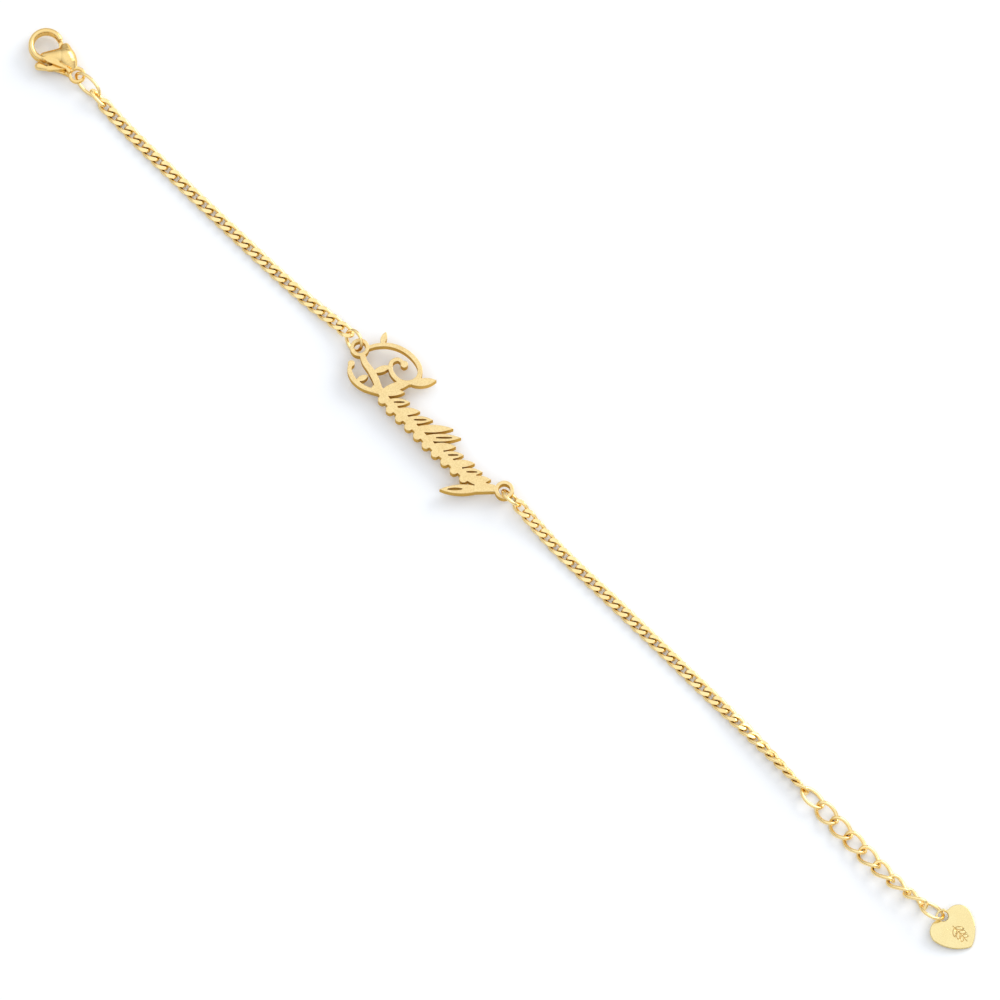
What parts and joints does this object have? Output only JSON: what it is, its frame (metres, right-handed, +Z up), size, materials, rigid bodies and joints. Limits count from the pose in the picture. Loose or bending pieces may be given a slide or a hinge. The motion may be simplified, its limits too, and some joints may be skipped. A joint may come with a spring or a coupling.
{
  "type": "nameplate bracelet",
  "caption": "Fine bracelet laid out open: curb chain on both sides of a pierced vine plate, lobster clasp with sprung lever, extender links and a heart-shaped tag.",
  "frame": {"origin": "on the table, in the middle of the box of the bracelet laid out open", "axes": "+X along the bracelet from the clasp to the heart tag, +Y across it, +Z up from the table"},
  "size_m": [0.1969, 0.0118, 0.0033],
  "materials": {
    "clasp_gold": "polished",
    "chain_gold": "polished",
    "plate_gold": "satin",
    "tag_gold": "satin"
  },
  "bodies": {
    "bracelet": {"clasp_body": "clasp_gold", "clasp_pin": "clasp_gold", "clasp_ring": "chain_gold", "left_chain": "chain_gold", "left_ring": "chain_gold", "nameplate": "plate_gold", "right_ring": "chain_gold", "right_chain": "chain_gold", "extender_ring": "chain_gold", "extender_link_1": "chain_gold", "extender_link_2": "chain_gold", "extender_link_3": "chain_gold", "extender_link_4": "chain_gold", "extender_link_5": "chain_gold", "extender_link_6": "chain_gold", "extender_link_7": "chain_gold", "tag_ring": "chain_gold", "heart_tag": "tag_gold"},
    "lever": {"clasp_lever": "clasp_gold"}
  },
  "joints": [
    {"name": "lever_hinge", "type": "hinge", "parent": "bracelet", "child": "lever", "pos_m": [-0.09257, 0.00056, 0.00146], "axis": [0, 0, 1], "range_deg": [0, 22], "stiffness_Nm_per_rad": 0.0002}
  ]
}
